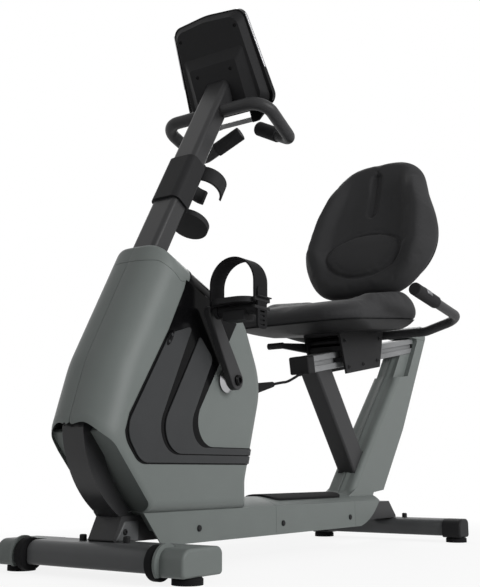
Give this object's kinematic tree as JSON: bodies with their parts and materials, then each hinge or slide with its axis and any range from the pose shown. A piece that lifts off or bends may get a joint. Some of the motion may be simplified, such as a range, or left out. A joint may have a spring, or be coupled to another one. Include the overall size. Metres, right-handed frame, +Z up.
{
  "type": "recumbent exercise bike",
  "caption": "Recumbent exercise bike with a padded seat that slides on a sloped rail, a step-through beam, a shrouded crank and flywheel, a leaning mast and a console.",
  "frame": {"origin": "on the floor, under the middle of the bike's bounding box", "axes": "+X to the front of the bike, +Y to the rider's left, +Z up"},
  "size_m": [1.6265, 0.6358, 1.3545],
  "materials": {
    "shell_grey": "satin",
    "trim_black": "gloss",
    "panel_dark": "satin",
    "frame_charcoal": "satin powder coat",
    "plastic_black": "fine grain",
    "rubber_black": "matt",
    "rail_aluminium": "brushed, anodised",
    "bright_metal": "polished",
    "steel": "zinc plated",
    "iron": "machined",
    "upholstery": "soft-touch cover",
    "screen": "gloss"
  },
  "bodies": {
    "frame": {"base_beam": "frame_charcoal", "bottle_holder": "plastic_black", "cable_boot": "rubber_black", "console_back": "plastic_black", "console_bezel": "trim_black", "console_screen": "screen", "cover_bolts": "steel", "crank_bearings": "steel", "drive_belt": "rubber_black", "drive_frame": "frame_charcoal", "front_end_caps": "shell_grey", "front_grips": "rubber_black", "front_handlebar": "frame_charcoal", "front_leg": "frame_charcoal", "front_stabilizer": "frame_charcoal", "leg_cover": "shell_grey", "mast": "frame_charcoal", "pulse_cable": "rubber_black", "rail_front_cap": "plastic_black", "rear_end_caps": "plastic_black", "rear_post": "frame_charcoal", "rear_stabilizer": "frame_charcoal", "seat_brace": "frame_charcoal", "seat_rail": "rail_aluminium", "shroud_cap": "shell_grey", "shroud_left": "shell_grey", "shroud_right": "shell_grey", "side_panels": "panel_dark", "side_trims": "trim_black", "step_cover": "shell_grey", "step_pad": "rubber_black", "tablet_ledge": "rail_aluminium", "upright_cap": "shell_grey", "upright_cover": "shell_grey"},
    "crank": {"crank_axle": "bright_metal", "drive_pulley": "rail_aluminium", "left_crank": "frame_charcoal", "right_crank": "frame_charcoal"},
    "left_pedal": {"left_pedal": "plastic_black", "left_pedal_strap": "rubber_black"},
    "right_pedal": {"right_pedal": "plastic_black", "right_pedal_strap": "rubber_black"},
    "flywheel": {"flywheel": "iron"},
    "brake": {"brake_magnets": "frame_charcoal"},
    "seat": {"seat_carriage": "frame_charcoal", "seat_pan": "plastic_black", "seat_cushion": "upholstery", "backrest_frame": "frame_charcoal", "backrest_shell": "plastic_black", "backrest_cushion": "upholstery", "seat_handlebar": "frame_charcoal", "seat_grips": "rubber_black"},
    "seat_lever": {"seat_lever": "plastic_black"},
    "left_wheel": {"left_transport_wheel": "rubber_black"},
    "right_wheel": {"right_transport_wheel": "rubber_black"},
    "front_left_foot": {"front_left_foot": "rubber_black"},
    "front_right_foot": {"front_right_foot": "rubber_black"},
    "rear_left_foot": {"rear_left_foot": "rubber_black"},
    "rear_right_foot": {"rear_right_foot": "rubber_black"},
    "dial": {"console_dial": "plastic_black"}
  },
  "joints": [
    {"name": "crank_spin", "type": "hinge", "parent": "frame", "child": "crank", "pos_m": [0.409, 0, 0.409], "axis": [0, 1, 0], "continuous": true},
    {"name": "left_pedal_spin", "type": "hinge", "parent": "crank", "child": "left_pedal", "pos_m": [0.50034, 0.188, 0.55238], "axis": [0, 1, 0], "continuous": true},
    {"name": "right_pedal_spin", "type": "hinge", "parent": "crank", "child": "right_pedal", "pos_m": [0.31766, -0.188, 0.26562], "axis": [0, 1, 0], "continuous": true},
    {"name": "flywheel_spin", "type": "hinge", "parent": "frame", "child": "flywheel", "pos_m": [0.56, 0, 0.258], "axis": [0, 1, 0], "continuous": true},
    {"name": "brake_swing", "type": "hinge", "parent": "frame", "child": "brake", "pos_m": [0.68477, -0.058, 0.27554], "axis": [0, 1, 0], "range_deg": [0, 8]},
    {"name": "seat_slide", "type": "slide", "parent": "frame", "child": "seat", "axis": [0.983, 0, -0.1834], "range_m": [-0.075, 0.11]},
    {"name": "seat_lever_press", "type": "hinge", "parent": "seat", "child": "seat_lever", "pos_m": [-0.235, -0.067, 0.562], "axis": [0, 1, 0], "range_deg": [0, 18], "stiffness_Nm_per_rad": 0.8, "springref_deg": -14.32},
    {"name": "left_wheel_spin", "type": "hinge", "parent": "frame", "child": "left_wheel", "pos_m": [0.741, 0.176, 0.038], "axis": [0, 1, 0], "continuous": true},
    {"name": "right_wheel_spin", "type": "hinge", "parent": "frame", "child": "right_wheel", "pos_m": [0.741, -0.176, 0.038], "axis": [0, 1, 0], "continuous": true},
    {"name": "dial_turn", "type": "hinge", "parent": "frame", "child": "dial", "pos_m": [0.27347, 0, 1.1766], "axis": [-0.8846, 0, 0.4664], "continuous": true},
    {"name": "front_left_foot_screw", "type": "slide", "parent": "frame", "child": "front_left_foot", "axis": [0, 0, -1], "range_m": [0, 0.01]},
    {"name": "front_right_foot_screw", "type": "slide", "parent": "frame", "child": "front_right_foot", "axis": [0, 0, -1], "range_m": [0, 0.01]},
    {"name": "rear_left_foot_screw", "type": "slide", "parent": "frame", "child": "rear_left_foot", "axis": [0, 0, -1], "range_m": [0, 0.01]},
    {"name": "rear_right_foot_screw", "type": "slide", "parent": "frame", "child": "rear_right_foot", "axis": [0, 0, -1], "range_m": [0, 0.01]}
  ],
  "couplings": [
    {"joint": "flywheel_spin", "follows": "crank_spin", "ratio": 3.8462}
  ]
}
